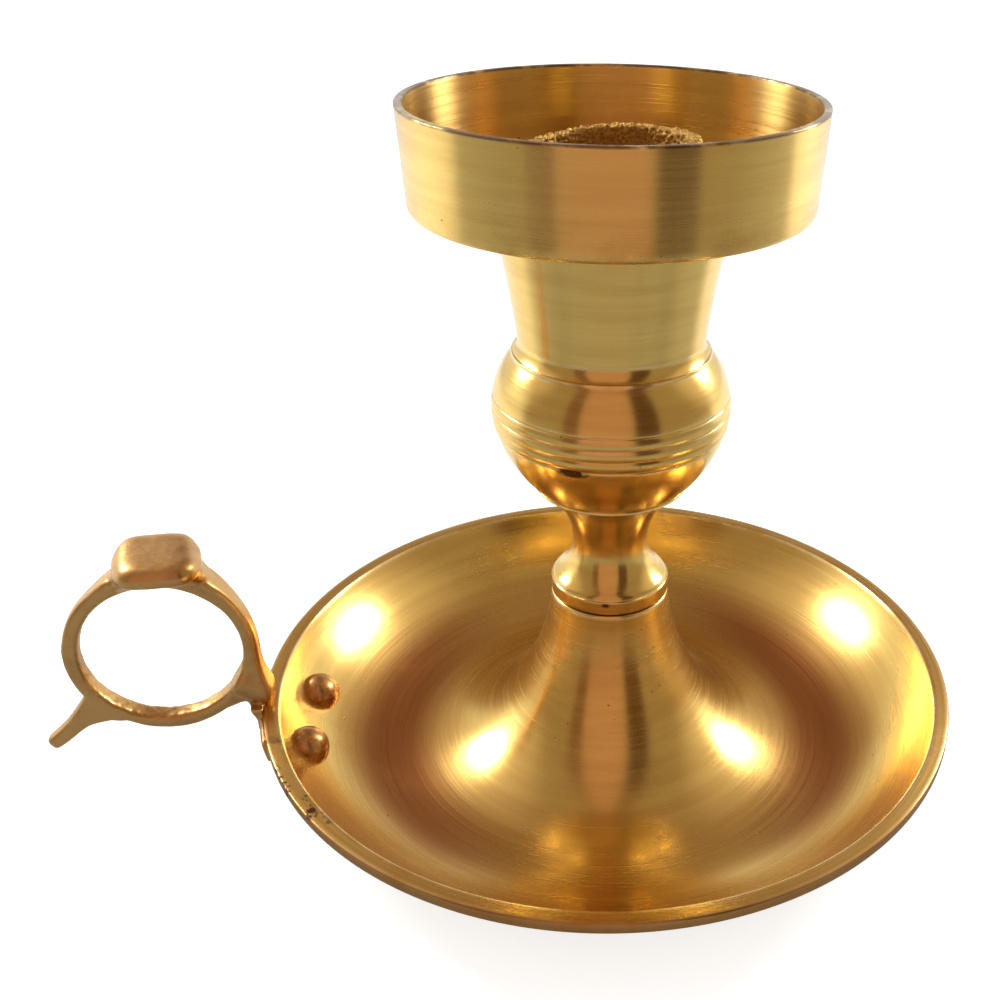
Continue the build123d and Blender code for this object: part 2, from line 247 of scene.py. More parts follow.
def newMaterial(name):
    material = bpy.data.materials.new(name)
    material.use_nodes = True
    tree = material.node_tree
    tree.nodes.clear()
    shader = put(tree, "BsdfPrincipled", None, {"Metallic": 1.0})
    output = put(tree, "OutputMaterial")
    tree.links.new(shader.outputs[0], output.inputs["Surface"])
    return material, tree, shader


brassLook = {
    "metal": (0.83, 0.58, 0.175, 1),
    "film": (0.58, 0.32, 0.085, 1),
    "red": (0.38, 0.135, 0.04, 1),
    # red for the rim's edge, also used for the painted dark reflection in the dish valley
    "dirt": (0.05, 0.025, 0.012, 1),
    # dark brown for real stains and dirt, also used for the painted shadow of the loop on the dish lip
    "stainAndShade": (0.11, 0.045, 0.02, 1),
    "bright": (0.96, 0.76, 0.40, 1),
}


def axisRadius(tree, spot):
    flat = put(tree, "VectorMath", {"operation": "MULTIPLY"}, {0: spot, 1: (1, 1, 0)}).outputs[0]
    return put(tree, "VectorMath", {"operation": "LENGTH"}, {0: flat}).outputs["Value"]


def spotNear(tree, spot, center, reach, soft, squash=(1, 1, 1)):
    # 1 within reach of a point given in millimetres, 0 past the soft border
    offset = put(tree, "VectorMath", {"operation": "SUBTRACT"}, {0: spot, 1: Vector(center) * mm}).outputs[0]
    pressed = put(tree, "VectorMath", {"operation": "MULTIPLY"}, {0: offset, 1: squash}).outputs[0]
    away = put(tree, "VectorMath", {"operation": "LENGTH"}, {0: pressed}).outputs["Value"]
    return ease(tree, away, reach * mm, (reach + soft) * mm, 1.0, 0.0)


def patches(tree, spot, scale, low, high):
    clouds = put(tree, "TexNoise", None, {"Vector": spot, "Scale": scale, "Detail": 4.0, "Roughness": 0.6}).outputs[0]
    return ease(tree, clouds, low, high)


def dishStainsAndShade(tree, spot):
    # painted dark reflection in red along the valley, strongest at the left and right; old polish turned red on the
    # rim's edge; painted shadow and reflection of the loop as brown patches on the lip beside it
    radius = axisRadius(tree, spot)
    # painted dark reflection: red in the valley between the cone and the bowl
    valleyShade = math2(tree, "MULTIPLY", ease(tree, radius, 0.026, 0.037), ease(tree, radius, 0.041, 0.051, 1.0, 0.0))
    sides = math2(tree, "ABSOLUTE", put(tree, "SeparateXYZ", None, {0: spot}).outputs[0])
    # the painted reflection is kept to the left and right sides
    valleyShade = math2(tree, "MULTIPLY", valleyShade, ease(tree, sides, 0.012, 0.036, 0.1, 0.92))
    onLip = ease(tree, radius, 0.0574, 0.0580)
    # painted shadow and reflection of the loop, as brown patches on the lip beside it
    lipShade = math2(tree, "MULTIPLY", onLip, spotNear(tree, spot, (-54.5, -24, 15), 8, 9))
    lipShade = math2(tree, "MULTIPLY", lipShade, patches(tree, spot, 420, 0.52, 0.6))
    rim = math2(tree, "MULTIPLY", onLip, patches(tree, spot, 90, 0.42, 0.72))
    rim = math2(tree, "MULTIPLY", rim, 0.5)
    band = ease(tree, radius, 0.0596, 0.0599, 0.0, 0.7)
    return [(valleyShade, brassLook["red"]), (rim, brassLook["film"]), (band, brassLook["red"]), (lipShade, brassLook["stainAndShade"])]


def pillarStains(tree, spot):
    # one dark stain under the reeds, a nick in the collar
    ragged = patches(tree, spot, 900, 0.30, 0.45)
    mark = math2(tree, "MULTIPLY", spotNear(tree, spot, (-8.6, -16.5, 63.0), 1.4, 1.0, (0.75, 0.75, 2.6)), ragged)
    nick = spotNear(tree, spot, (-2.34, -9.8, 34.6), 0.2, 0.35, (0.5, 1, 1))
    return [(mark, brassLook["stainAndShade"]), (nick, brassLook["stainAndShade"])]


def cupStains(tree, spot):
    # a brown bloom that crept up from the wax, and a dark line along the rim
    height = put(tree, "SeparateXYZ", None, {0: spot}).outputs[2]
    bloom = ease(tree, height, 0.0985, 0.106, 0.5, 0.0)
    bloom = math2(tree, "MULTIPLY", bloom, patches(tree, spot, 120, 0.4, 0.65))
    rim = ease(tree, height, 0.1134, 0.1137, 0.0, 0.8)
    rim = math2(tree, "MULTIPLY", rim, patches(tree, spot, 260, 0.3, 0.55))
    return [(bloom, brassLook["film"]), (rim, brassLook["stainAndShade"])]


def makeTurnedBrass(name, look, stainsAndShade):
    # brushed by the lathe; "coarse" roughens inside a radius, "raw" adds sand where the mesh says so
    material, tree, shader = newMaterial(name)
    spot = put(tree, "TexCoord").outputs["Object"]
    marks = useGroup(tree, turningMarks, {"Scale": look["markScale"], "Round": 0.9})
    film = useGroup(tree, tarnish, {"Scale": look["filmScale"], "Amount": look["filmAmount"]})["Mask"]
    pitShare = look["pitShare"]
    if "pitSpot" in look:
        pitShare = ease(tree, spotNear(tree, spot, look["pitSpot"], 7, 12), 0.0, 1.0, look["pitShare"], look["pitMore"])
    holes = useGroup(tree, pits, {"Scale": look["pitScale"], "Share": pitShare, "Size": 0.3})
    wear = useGroup(tree, edgeWear, {"Amount": 0.6})["Mask"]
    color = blend(tree, math2(tree, "MULTIPLY", marks["Streak"], look["streak"]), brassLook["metal"], brassLook["film"])
    color = blend(tree, math2(tree, "MULTIPLY", film, look["filmDepth"]), color, brassLook["film"])
    color = blend(tree, wear, color, brassLook["bright"])
    rough = ease(tree, marks["Height"], 0.3, 0.7, look["roughLow"], look["roughHigh"])
    rough = math2(tree, "ADD", rough, math2(tree, "MULTIPLY", film, look["filmRough"]))
    # stains, and on the dish also a painted dark reflection and a painted shadow
    for mask, tint in stainsAndShade(tree, spot):
        color = blend(tree, mask, color, tint)
        rough = math2(tree, "ADD", rough, math2(tree, "MULTIPLY", mask, 0.08))
    color = blend(tree, math2(tree, "MULTIPLY", holes["Mask"], 0.85), color, brassLook["dirt"])
    if "coarse" in look:
        inside, more = look["coarse"]
        rough = math2(tree, "ADD", rough, ease(tree, axisRadius(tree, spot), inside, inside + 0.0001, more, 0.0))
    if "raw" in look:
        raw = put(tree, "Attribute", {"attribute_name": "raw"}).outputs["Fac"]
        sand = put(tree, "TexNoise", None, {"Vector": spot, "Scale": 2600, "Detail": 3.0, "Roughness": 0.7}).outputs[0]
        color = blend(tree, math2(tree, "MULTIPLY", raw, ease(tree, sand, 0.6, 0.4)), color, brassLook["film"])
        rough = math2(tree, "ADD", rough, math2(tree, "MULTIPLY", raw, 0.1))
    tree.links.new(color, shader.inputs["Base Color"])
    tree.links.new(rough, shader.inputs["Roughness"])
    lines = put(tree, "Bump", None, {"Strength": look["markStrength"], "Distance": 0.00002, "Height": marks["Height"]})
    pitted = put(tree, "Bump", None, {"Strength": 0.5, "Distance": 0.00008, "Height": holes["Height"],
                                      "Normal": lines.outputs[0]})
    normal = pitted.outputs[0]
    if "raw" in look:
        grains = put(tree, "Bump", None, {"Strength": raw, "Distance": 0.0006, "Height": sand, "Normal": normal})
        normal = grains.outputs[0]
    tree.links.new(normal, shader.inputs["Normal"])
    shader.inputs["Anisotropic"].default_value = look["brushed"]
    shader.inputs["Anisotropic Rotation"].default_value = 0.25
    around = put(tree, "Tangent", {"direction_type": "RADIAL", "axis": "Z"})
    tree.links.new(around.outputs[0], shader.inputs["Tangent"])
    return material


dishBrass = makeTurnedBrass("dishBrass", {
    "markScale": 2600, "streak": 0.3, "filmScale": 55, "filmAmount": 0.45, "filmDepth": 0.4, "filmRough": 0.08,
    "pitScale": 1300, "pitShare": 0.004, "pitSpot": (-1, -13, 20), "pitMore": 0.05,
    "roughLow": 0.2, "roughHigh": 0.28, "markStrength": 0.12, "brushed": 0.7}, dishStainsAndShade)
pillarBrass = makeTurnedBrass("pillarBrass", {
    "markScale": 3400, "streak": 0.25, "filmScale": 80, "filmAmount": 0.3, "filmDepth": 0.3, "filmRough": 0.06,
    "pitScale": 1500, "pitShare": 0.006,
    "roughLow": 0.17, "roughHigh": 0.25, "markStrength": 0.1, "brushed": 0.8, "raw": True}, pillarStains)
cupBrass = makeTurnedBrass("cupBrass", {
    "markScale": 3600, "streak": 0.3, "filmScale": 40, "filmAmount": 0.25, "filmDepth": 0.3, "filmRough": 0.05,
    "pitScale": 1500, "pitShare": 0.006, "coarse": (0.0298, 0.06),
    "roughLow": 0.2, "roughHigh": 0.28, "markStrength": 0.12, "brushed": 0.95}, cupStains)


def makeLoopBrass():
    # cast and filed by hand: brown satin faces, bright rubbed edges, dirt in the creases
    material, tree, shader = newMaterial("loopBrass")
    spot = put(tree, "TexCoord").outputs["Object"]
    film = useGroup(tree, tarnish, {"Scale": 140, "Amount": 0.6})["Mask"]
    holes = useGroup(tree, pits, {"Scale": 1500, "Share": 0.02, "Size": 0.3})
    wear = useGroup(tree, edgeWear, {"Scale": 300, "Amount": 0.85})["Mask"]
    hollow = put(tree, "Attribute", {"attribute_name": "hollow"}).outputs["Fac"]
    sand = put(tree, "TexNoise", None, {"Vector": spot, "Scale": 1500, "Detail": 4.0, "Roughness": 0.6}).outputs[0]
    color = blend(tree, math2(tree, "MULTIPLY", film, 0.5), (0.62, 0.37, 0.135, 1), (0.44, 0.235, 0.085, 1))
    color = blend(tree, wear, color, (0.93, 0.68, 0.31, 1))
    color = blend(tree, math2(tree, "MULTIPLY", hollow, 0.7), color, brassLook["stainAndShade"])
    color = blend(tree, math2(tree, "MULTIPLY", holes["Mask"], 0.7), color, brassLook["dirt"])
    tree.links.new(color, shader.inputs["Base Color"])
    rough = ease(tree, sand, 0.3, 0.7, 0.3, 0.4)
    tree.links.new(math2(tree, "SUBTRACT", rough, math2(tree, "MULTIPLY", wear, 0.08)), shader.inputs["Roughness"])
    grainy = put(tree, "Bump", None, {"Strength": 0.06, "Distance": 0.00005, "Height": sand})
    pitted = put(tree, "Bump", None, {"Strength": 0.5, "Distance": 0.00008, "Height": holes["Height"],
                                      "Normal": grainy.outputs[0]})
    tree.links.new(pitted.outputs[0], shader.inputs["Normal"])
    return material


def makeRivetBronze():
    material, tree, shader = newMaterial("rivetBronze")
    spot = put(tree, "TexCoord").outputs["Object"]
    film = useGroup(tree, tarnish, {"Scale": 320, "Amount": 0.6})["Mask"]
    holes = useGroup(tree, pits, {"Scale": 1800, "Share": 0.02, "Size": 0.3})
    color = blend(tree, math2(tree, "MULTIPLY", film, 0.7), (0.60, 0.32, 0.12, 1), (0.30, 0.135, 0.05, 1))
    color = blend(tree, math2(tree, "MULTIPLY", holes["Mask"], 0.7), color, brassLook["dirt"])
    tree.links.new(color, shader.inputs["Base Color"])
    scuffs = put(tree, "TexNoise", None, {"Vector": spot, "Scale": 900, "Detail": 3.0}).outputs[0]
    tree.links.new(ease(tree, scuffs, 0.3, 0.7, 0.22, 0.36), shader.inputs["Roughness"])
    dented = put(tree, "Bump", None, {"Strength": 0.15, "Distance": 0.00005, "Height": scuffs})
    tree.links.new(dented.outputs[0], shader.inputs["Normal"])
    return material


def makeStudSteel():
    material, tree, shader = newMaterial("studSteel")
    film = useGroup(tree, tarnish, {"Scale": 200, "Amount": 0.5})["Mask"]
    tree.links.new(blend(tree, film, (0.46, 0.45, 0.43, 1), (0.2, 0.16, 0.12, 1)), shader.inputs["Base Color"])
    tree.links.new(ease(tree, film, 0.0, 1.0, 0.3, 0.5), shader.inputs["Roughness"])
    return material


loopBrass = makeLoopBrass()
rivetBronze = makeRivetBronze()
studSteel = makeStudSteel()
print("stage: finishes ready")


# drip dish: bowl, cone, flat rim and foot ring, one turned section

dish = {
    "steps": 256,
    "fine": 0.9,
    "start": (4.1, 24.9),
    "strokes": [
        (4.1, 32.4), (10.0, 32.4),                     # boss and the land on top of the cone
        (15.8, 14.2, 27.2), (36.6, 2.5, 58.72),        # cone and its flare
        (57.5, 15.6, 64.16),                           # bowl
        (60.0, 15.6), (60.0, 13.75), (58.8, 13.75),    # rim
        (39.8, 0.704, -54.38),                         # under the bowl
        (39.8, 0.0), (33.4, 0.0), (33.4, 0.695),       # foot ring
        (14.09, 13.16, -51.73), (9.176, 24.9, -17.17),  # under the flare and cone
        (4.1, 24.9),
    ],
    "edge": 0.3,
}


def makeDripDish():
    bm = bmesh.new()
    drawProfile(bm, dish["start"], dish["strokes"], dish["fine"])
    latheSpin(bm, dish["steps"])
    breakEdges(bm, dish["edge"])
    return finishPiece("dripDish", bm, "base", "drip_dish", dishBrass)


# stem foot: collar, bell, neck and flare

stem = {
    "steps": 192,
    "fine": 0.45,
    "start": (4.1, 53.05),
    "strokes": [
        (4.1, 32.45), (8.6, 32.45), (8.6, 32.8),       # bore, seat and the open seam
        (10.0, 32.8), (10.0, 35.15), (9.75, 35.15),    # collar
        (9.35, 36.0, 50.4),                            # ovolo
        (6.4, 41.85, -53.5), (12.3, 53.05, -55.6),     # bell, neck and flare
        (4.1, 53.05),
    ],
    "edge": 0.14,
}


def makeStemFoot():
    bm = bmesh.new()
    drawProfile(bm, stem["start"], stem["strokes"], stem["fine"])
    latheSpin(bm, stem["steps"])
    breakEdges(bm, stem["edge"])
    return finishPiece("stemFoot", bm, "pillar", "stem_foot", pillarBrass)


# candle socket: reeded bulb, flared nozzle and the cast candle tube

socket = {
    "steps": 224,
    "fine": 0.45,
    "lowArc": (-1.575, 68.878, 20.78),   # center radius, center height, arc radius
    "highArc": (5.816, 67.15, 13.234),
    "belly": (66.35, 67.15),
    "bellyRadius": 19.05,
    "grooves": [63.45, 65.41, 67.37, 69.33],
    "grooveWidth": 0.2,
    "reedBend": 46,
    "edge": 0.08,
    "boreStrokes": [(4.1, 62.25), (4.1, 53.05), (12.6, 53.05), (12.6, 53.5), (12.4, 53.5)],
    "nozzleStrokes": [
        (15.7, 76.45), (15.4, 76.45),                      # bead
        (14.5, 78.45, -48.46), (14.75, 78.45),             # cove
        (18.4, 98.85, -8.16),                              # nozzle
        (11.2, 98.85), (11.2, 79.85), (0.0, 79.85),        # candle bore
    ],
    "tubeSteps": 420,
    "tubePlain": 1.2,
    "tubeFine": 0.17,
    "tubeStrokes": [(11.2, 98.9), (11.6, 98.4), (12.3, 98.4), (12.7, 98.9), (12.7, 104.5)],
    "mouthStrokes": [(12.7, 107.4), (12.25, 107.85, 90), (11.65, 107.85), (11.2, 107.4, 90), (11.2, 104.5)],
    "mouthLean": 0.05,
    "mouthWave": 0.5,
    "lumpDepth": 0.1,
    "lumpScale": 900,
    "grainDepth": 0.4,
    "grainScale": 1900,
}


def bulbSpot(arc, height):
    # radius of the bulb at a height on one of its arcs, and the slope there in degrees
    slope = math.asin((height - arc[1]) / arc[2])
    return arc[0] + arc[2] * math.cos(slope), math.degrees(slope)


def bulbRadius(height):
    low, high = socket["belly"]
    if low <= height <= high:
        return socket["bellyRadius"]
    return bulbSpot(socket["lowArc"] if height < low else socket["highArc"], height)[0]


def nearMouth(spot):
    return smoothShare(102.0, 104.5, spot.z / mm)


def makeTubeMesh():
    # the candle tube, cast in sand and left rough: fine grains, and a mouth that is not level
    bm = bmesh.new()
    drawProfile(bm, (11.2, 104.5), socket["tubeStrokes"], socket["tubePlain"])
    drawProfile(bm, (12.7, 104.5), socket["mouthStrokes"], socket["tubeFine"])
    latheSpin(bm, socket["tubeSteps"])
    rawLayer = bm.verts.layers.float.new("raw")
    for v in bm.verts:
        v[rawLayer] = smoothShare(101.0, 104.5, v.co.z / mm)
        share = smoothShare(101.0, 107.5, v.co.z / mm)
        ragged = noise.noise(v.co * 160 + Vector((3.1, 0, 7.7)))
        v.co.z += share * (v.co.x * socket["mouthLean"] + socket["mouthWave"] * mm * ragged)
    roughen(bm, nearMouth, socket["lumpDepth"], socket["lumpScale"], 1.0)
    roughen(bm, nearMouth, socket["grainDepth"], socket["grainScale"], 4.0)
    mesh = bpy.data.meshes.new("tubeRaw")
    bm.to_mesh(mesh)
    bm.free()
    return mesh


def makeCandleSocket():
    strokes = list(socket["boreStrokes"])
    half = socket["grooveWidth"]
    for height in socket["grooves"]:
        bend = socket["reedBend"]
        if height == socket["grooves"][0]:
            bend = bulbSpot(socket["lowArc"], height - half)[1] - bulbSpot(socket["lowArc"], 53.5)[1]
        strokes.append((bulbRadius(height - half), height - half, bend))
        strokes.append((bulbRadius(height + half), height + half, -120))
    bend = bulbSpot(socket["highArc"], 75.95)[1] - bulbSpot(socket["highArc"], socket["grooves"][-1] + half)[1]
    strokes.append((15.7, 75.95, bend))
    strokes += socket["nozzleStrokes"]
    bm = bmesh.new()
    drawProfile(bm, (0.0, 62.25), strokes, socket["fine"])
    latheSpin(bm, socket["steps"])
    breakEdges(bm, socket["edge"])
    bm.verts.layers.float.new("raw")
    tubeMesh = makeTubeMesh()
    bm.from_mesh(tubeMesh)
    bpy.data.meshes.remove(tubeMesh)
    return finishPiece("candleSocket", bm, "pillar", "candle_socket", pillarBrass)


# drip cup: the drum that drops over the candle tube

cup = {
    "steps": 256,
    "fine": 0.6,
    "start": (13.0, 98.85),
    "strokes": [
        (28.95, 98.85), (30.0, 99.85, 86.9),           # underside and its rounded corner
        (30.8, 113.85), (29.65, 113.85),               # drum and its rim
        (28.89, 101.85), (28.05, 101.05, -86.9),       # inside wall and corner
        (13.0, 101.05), (13.0, 98.85),
    ],
    "edge": 0.16,
}


def makeCandleCup():
    bm = bmesh.new()
    drawProfile(bm, cup["start"], cup["strokes"], cup["fine"])
    latheSpin(bm, cup["steps"])
    breakEdges(bm, cup["edge"])
    return finishPiece("candleCup", bm, "cup", "candle_cup", cupBrass)


# finger loop: the cast band, softened as a casting is

loop = {
    "voxel": 0.3,
    "smoothing": 7,
    "swell": 0.1,
    "edgeBend": (0.07, 0.17),
    "holeCenter": (-74.9, 26.95),
    "padLow": 41.8,
    "padFade": 1.5,
    "padSmoothing": 45,
    "padSwell": 1.0,
    "lugShare": 0.45,
    "lugTop": (16.5, 13.0),
    "lugReach": (66.0, 63.5),
    "claspLow": 11.0,
    "rimRadius": 60.05,
    "dishSkin": 2.05,                    # wall and clearance
    "spurStart": (-85.3, 16.6),
    "spurWay": (-0.826, -0.566),
    "spurWaist": 1.6,
    "castDepth": 0.06,
    "castScale": 260,
    "rawDepth": 0.1,
    "rawScale": 900,
}


def insideHole(spot):
    # the floor of the finger hole was left as it came from the sand
    across, high = loop["holeCenter"]
    away = Vector((spot.x / mm - across, 0, spot.z / mm - high))
    return smoothShare(13.35, 13.0, away.length) * smoothShare(2.0, -5.0, away.z)


def slimLug(spot):
    # the lug and clasp are filed thin where they hug the bowl and its rim
    radius, height = math.hypot(spot.x, spot.y) / mm, spot.z / mm
    share = (1 - loop["lugShare"]) * smoothShare(*loop["lugTop"], height) * smoothShare(*loop["lugReach"], radius)
    if share <= 0:
        return spot
    centerRadius, centerHeight = rivet["bowlCenter"]
    across, drop = radius - centerRadius, height - centerHeight
    if height > loop["claspLow"]:
        newRadius = radius - max(radius - loop["rimRadius"], 0) * share
        return Vector((spot.x * newRadius / radius, spot.y * newRadius / radius, spot.z))
    skin = rivet["bowlRadius"] + loop["dishSkin"]
    depth = math.hypot(across, drop) - skin
    pull = 1 - max(depth, 0) * share / (skin + depth)
    newRadius = centerRadius + across * pull
    return Vector((spot.x * newRadius / radius, spot.y * newRadius / radius, (centerHeight + drop * pull) * mm))


def waistSpur(spot):
    # the spur draws in below before it runs out to its tip
    x, z = spot.x / mm - loop["spurStart"][0], spot.z / mm - loop["spurStart"][1]
    way = loop["spurWay"]
    along, below = x * way[0] + z * way[1], -x * way[1] + z * way[0]
    share = smoothShare(-3.0, 1.5, along) * smoothShare(12.5, 5.0, along) * smoothShare(0.0, 2.5, below)
    move = loop["spurWaist"] * share * mm
    return spot + Vector((way[1] * move, 0, -way[0] * move))


def makeFingerLoop():
    bm = bmesh.new()
    bm.from_mesh(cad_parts["finger_loop"].data)
    bmesh.ops.remove_doubles(bm, verts=bm.verts[:], dist=0.001 * mm)
    rawMesh = bpy.data.meshes.new("loopRaw")
    bm.to_mesh(rawMesh)
    bm.free()
    raw = bpy.data.objects.new("loopRaw", rawMesh)
    bpy.context.collection.objects.link(raw)
    skin = raw.modifiers.new("skin", "REMESH")
    skin.mode = "VOXEL"
    skin.voxel_size = loop["voxel"] * mm
    softening = raw.modifiers.new("softening", "SMOOTH")
    softening.factor = 0.5
    softening.iterations = loop["smoothing"]
    bpy.context.view_layer.update()
    graph = bpy.context.evaluated_depsgraph_get()
    castMesh = bpy.data.meshes.new_from_object(raw.evaluated_get(graph))
    bpy.data.objects.remove(raw)
    bm = bmesh.new()
    bm.from_mesh(castMesh)
    bpy.data.meshes.remove(castMesh)
    for v in bm.verts:
        v.co = waistSpur(slimLug(v.co))
    for step in range(loop["padSmoothing"]):
        padVerts = [v for v in bm.verts if v.co.z > loop["padLow"] * mm]
        bmesh.ops.smooth_vert(bm, verts=padVerts, factor=0.5, use_axis_x=True, use_axis_y=True, use_axis_z=True)
    bm.normal_update()
    for v in bm.verts:
        share = smoothShare(loop["padLow"], loop["padLow"] + loop["padFade"], v.co.z / mm)
        v.co += v.normal * (loop["swell"] + share * loop["padSwell"]) * mm
    markEdges(bm, *loop["edgeBend"])
    roughen(bm, lambda spot: smoothShare(-58.5, -62.5, spot.x / mm), loop["castDepth"], loop["castScale"], 9.0)
    roughen(bm, insideHole, loop["rawDepth"], loop["rawScale"], 2.0)
    return finishPiece("fingerLoop", bm, "base", "finger_loop", loopBrass)


# rivets: hammered domes in the bowl, peened tails on the lug

rivet = {
    "steps": 64,
    "fine": 0.2,
    "bowlCenter": (36.6, 25.72),
    "bowlRadius": 23.22,
    "tail": -4.25,
    "seats": {"rivetFront": (7.2, 9.5), "rivetRear": (-8.7, 8.7)},     # beside the loop, height
    "strokes": [
        (1.0, -4.25), (2.55, -3.8, 40.0), (2.7, -3.05, 25.0), (1.6, -3.05), (1.6, -0.3),   # tail and shank
        (3.6, -0.3), (3.6, 0.1), (0.0, 3.2, 81.4),                                         # head
    ],
    "edge": 0.12,
    "dent": 0.05,
    "dentScale": 300,
}


def makeRivet(name, node):
    bm = bmesh.new()
    drawProfile(bm, (0.0, rivet["tail"]), rivet["strokes"], rivet["fine"])
    latheSpin(bm, rivet["steps"])
    breakEdges(bm, rivet["edge"])
    side, height = rivet["seats"][name]
    roughen(bm, lambda spot: 1.0 if spot.z > 0.1 * mm else 0.0, rivet["dent"], rivet["dentScale"], side)
    rise = rivet["bowlCenter"][1] - height
    out = rivet["bowlCenter"][0] + math.sqrt(rivet["bowlRadius"] ** 2 - rise ** 2)
    inward = Vector((out - rivet["bowlCenter"][0], 0, rise)).normalized()
    seat = Matrix.Translation(Vector((-out, 0, height)) * mm) @ up.rotation_difference(inward).to_matrix().to_4x4()
    bmesh.ops.transform(bm, matrix=Matrix.Rotation(math.asin(side / out), 4, "Z") @ seat, verts=bm.verts[:])
    return finishPiece(name, bm, "base", node, rivetBronze)


# stud: a cut screw thread between two chamfered ends

stud = {
    "steps": 40,
    "low": 24.9,
    "high": 61.85,
    "crest": 3.95,
    "root": 3.3,
    "pitch": 1.25,
}


def makeStemStud():
    bm = bmesh.new()
    pitch = stud["pitch"]
    turns = int((stud["high"] - stud["low"]) / pitch) + 3
    begin = stud["low"] - pitch
    tooth = [(stud["root"], begin + 0.15 * pitch), (stud["crest"], begin + 0.44 * pitch),
             (stud["crest"], begin + 0.56 * pitch), (stud["root"], begin + 0.85 * pitch), (stud["root"], begin + pitch)]
    drawProfile(bm, (stud["root"], begin), tooth, 2.0)
    stepRise = up * (pitch * mm / stud["steps"])
    bmesh.ops.spin(bm, geom=bm.verts[:] + bm.edges[:], cent=(0, 0, 0), axis=up, dvec=stepRise,
                   angle=2 * math.pi * turns, steps=stud["steps"] * turns)
    bmesh.ops.remove_doubles(bm, verts=bm.verts[:], dist=0.004 * mm)
    for height, way in ((stud["low"], -1), (stud["high"], 1)):
        cut = bmesh.ops.bisect_plane(bm, geom=bm.verts[:] + bm.edges[:] + bm.faces[:], plane_co=up * height * mm,
                                     plane_no=up * way, clear_outer=True)
        bmesh.ops.holes_fill(bm, edges=[e for e in cut["geom_cut"] if isinstance(e, bmesh.types.BMEdge)])
    bmesh.ops.recalc_face_normals(bm, faces=bm.faces[:])
    return finishPiece("stemStud", bm, "stud", "stem_stud", studSteel)


pieces = [makeDripDish(), makeStemFoot(), makeCandleSocket(), makeCandleCup(), makeFingerLoop(),
          makeRivet("rivetFront", "rivet_front"), makeRivet("rivetRear", "rivet_rear"), makeStemStud()]
print("stage: pieces", [(piece.name, len(piece.data.polygons)) for piece in pieces])


# studio: pale floor, white sweep behind, a dim warm room in front, two soft lamps

studio = {
    "floorSize": 0.9,
    "floorFront": -0.2,
    "floorColor": (0.8, 0.8, 0.8, 1),
    "floorShade": (0.56, 0.56, 0.56, 1),
    "floorLift": 0.75,
    "fill": (0.45, 0.45, 0.45, 1),
    "floorFar": (0.01, 0.08),
    "farShine": 0.4,
    "room": (0.39, 0.305, 0.215, 1),
    "roomBack": (0.33, 0.22, 0.155, 1),
    "zones": [                                       # azimuth, outer and inner half width in degrees, color
        (-104, 27, 22, (0.58, 0.345, 0.27, 1)),
        (-137, 9, 5, (0.24, 0.13, 0.09, 1)),
        (-65, 14, 8, (0.12, 0.065, 0.04, 1)),
    ],
    "lamps": {"lampRight": (22.7, 27.7), "lampLeft": (143.4, 32.0)},
    "lampReach": 0.65,
    "lampRise": 0.03,
    "lampSize": 0.2,
    "lampPower": 2.1,
    "halo": (0.45, 0.42, 0.4, 1),
    "haloEdge": (0.74, 0.97),
}


def makeFloor():
    bm = bmesh.new()
    bmesh.ops.create_grid(bm, x_segments=1, y_segments=1, size=studio["floorSize"])
    bmesh.ops.translate(bm, verts=bm.verts[:], vec=(0, studio["floorSize"] + studio["floorFront"], -0.05 * mm))
    mesh = bpy.data.meshes.new("studioFloor")
    bm.to_mesh(mesh)
    bm.free()
    floor = bpy.data.objects.new("studioFloor", mesh)
    bpy.context.collection.objects.link(floor)
    material = bpy.data.materials.new("floorPaper")
    material.use_nodes = True
    tree = material.node_tree
    tree.nodes.clear()
    path = put(tree, "LightPath").outputs
    depth = put(tree, "SeparateXYZ", None, {0: put(tree, "TexCoord").outputs["Object"]}).outputs[1]
    far = ease(tree, depth, *studio["floorFar"])     # the front of the paper lies in shade for the brass
    mirrored = math2(tree, "MULTIPLY", path["Is Glossy Ray"], math2(tree, "MULTIPLY", far, studio["farShine"]))
    shade = math2(tree, "MULTIPLY", path["Is Glossy Ray"], math2(tree, "SUBTRACT", 1.0, far))
    seen = math2(tree, "ADD", path["Is Camera Ray"], math2(tree, "ADD", mirrored, path["Is Transmission Ray"]), True)
    paper = put(tree, "BsdfDiffuse", None, {"Color": blend(tree, shade, studio["floorColor"], studio["floorShade"])})
    glow = math2(tree, "MULTIPLY", seen, studio["floorLift"])
    lift = put(tree, "Emission", None, {"Color": (1, 1, 1, 1), "Strength": glow})
    both = put(tree, "AddShader", None, {0: paper.outputs[0], 1: lift.outputs[0]})
    put(tree, "OutputMaterial", None, {"Surface": both.outputs[0]})
    mesh.materials.append(material)


def lampWay(azimuth, height):
    a, e = math.radians(azimuth), math.radians(height)
    return Vector((math.cos(a) * math.cos(e), math.sin(a) * math.cos(e), math.sin(e)))


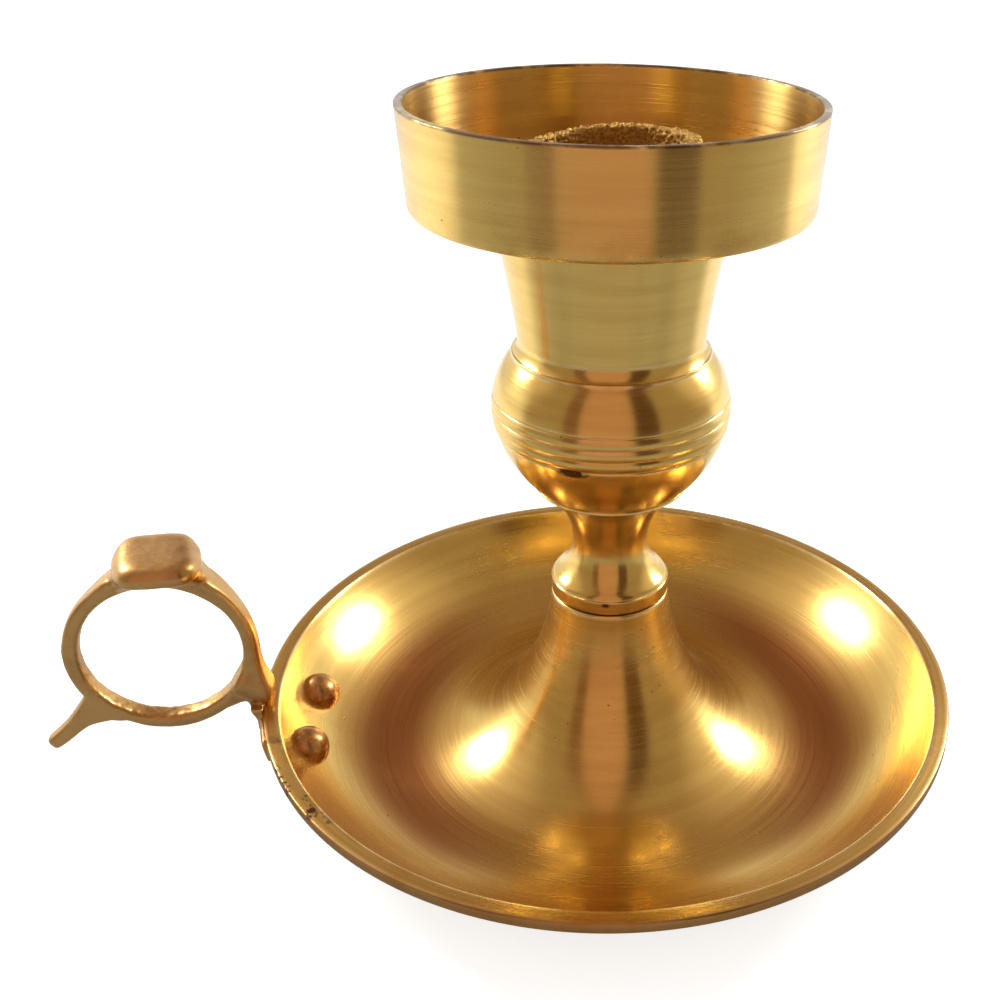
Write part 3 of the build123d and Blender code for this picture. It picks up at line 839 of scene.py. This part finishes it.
def makeWorld():
    world = bpy.data.worlds.new("studioRoom")
    bpy.context.scene.world = world
    world.use_nodes = True
    tree = world.node_tree
    tree.nodes.clear()
    way = put(tree, "TexCoord").outputs["Generated"]
    axes = put(tree, "SeparateXYZ", None, {0: way}).outputs
    sweep = math2(tree, "MULTIPLY", ease(tree, axes[1], 0.0, 0.3), ease(tree, axes[2], 0.28, 0.46, 1.0, 0.0))

    flat = put(tree, "VectorMath", {"operation": "MULTIPLY"}, {0: way, 1: (1, 1, 0)}).outputs[0]
    level = put(tree, "VectorMath", {"operation": "NORMALIZE"}, {0: flat}).outputs[0]

    def toward(azimuth, outer, inner):
        # 1 within inner degrees of an azimuth, 0 past outer degrees
        aim = (math.cos(math.radians(azimuth)), math.sin(math.radians(azimuth)), 0.0)
        share = put(tree, "VectorMath", {"operation": "DOT_PRODUCT"}, {0: level, 1: aim}).outputs["Value"]
        return ease(tree, share, math.cos(math.radians(outer)), math.cos(math.radians(inner)))

    room = blend(tree, ease(tree, axes[1], -0.1, 0.3), studio["room"], studio["roomBack"])
    for azimuth, outer, inner, tint in studio["zones"]:
        room = blend(tree, toward(azimuth, outer, inner), room, tint)
    for azimuth, height in studio["lamps"].values():
        aim = lampWay(azimuth, height)
        share = put(tree, "VectorMath", {"operation": "DOT_PRODUCT"}, {0: way, 1: aim}).outputs["Value"]
        room = blend(tree, ease(tree, share, *studio["haloEdge"]), room, studio["halo"], "ADD")
    seenRoom = blend(tree, sweep, room, (1, 1, 1, 1))
    path = put(tree, "LightPath").outputs
    mirrored = blend(tree, path["Is Glossy Ray"], studio["fill"], seenRoom)
    direct = math2(tree, "ADD", path["Is Camera Ray"], path["Is Transmission Ray"], True)
    color = blend(tree, direct, mirrored, (1, 1, 1, 1))
    back = put(tree, "Background", None, {"Color": color, "Strength": 1.0})
    put(tree, "OutputWorld", None, {"Surface": back.outputs[0]})


def makeLamps():
    for name, (azimuth, height) in studio["lamps"].items():
        way = lampWay(azimuth, height)
        data = bpy.data.lights.new(name, "AREA")
        data.shape = "DISK"
        data.size = studio["lampSize"]
        data.energy = studio["lampPower"]
        lamp = bpy.data.objects.new(name, data)
        lamp.location = way * studio["lampReach"] + up * studio["lampRise"]
        lamp.rotation_euler = way.to_track_quat("Z", "Y").to_euler()
        bpy.context.collection.objects.link(lamp)


camera = {
    "spot": (-0.02865, -0.17545, 0.14593),
    "way": (0.16563, 0.86272, -0.47780),
    "roll": 1.26,
    "lens": 43.61,
    "shift": -0.14,
}


def makeCamera():
    data = bpy.data.cameras.new("studioCamera")
    data.sensor_width = 36
    data.lens = camera["lens"]
    data.shift_x = camera["shift"]
    data.clip_start = 0.01
    eye = bpy.data.objects.new("studioCamera", data)
    eye.location = camera["spot"]
    aim = Vector(camera["way"]).to_track_quat("-Z", "Y") @ Quaternion((0, 0, 1), math.radians(camera["roll"]))
    eye.rotation_euler = aim.to_euler()
    bpy.context.collection.objects.link(eye)
    bpy.context.scene.camera = eye


makeFloor()
makeWorld()
makeLamps()
makeCamera()
bpy.context.scene.view_settings.view_transform = "Standard"
print("stage: studio ready")
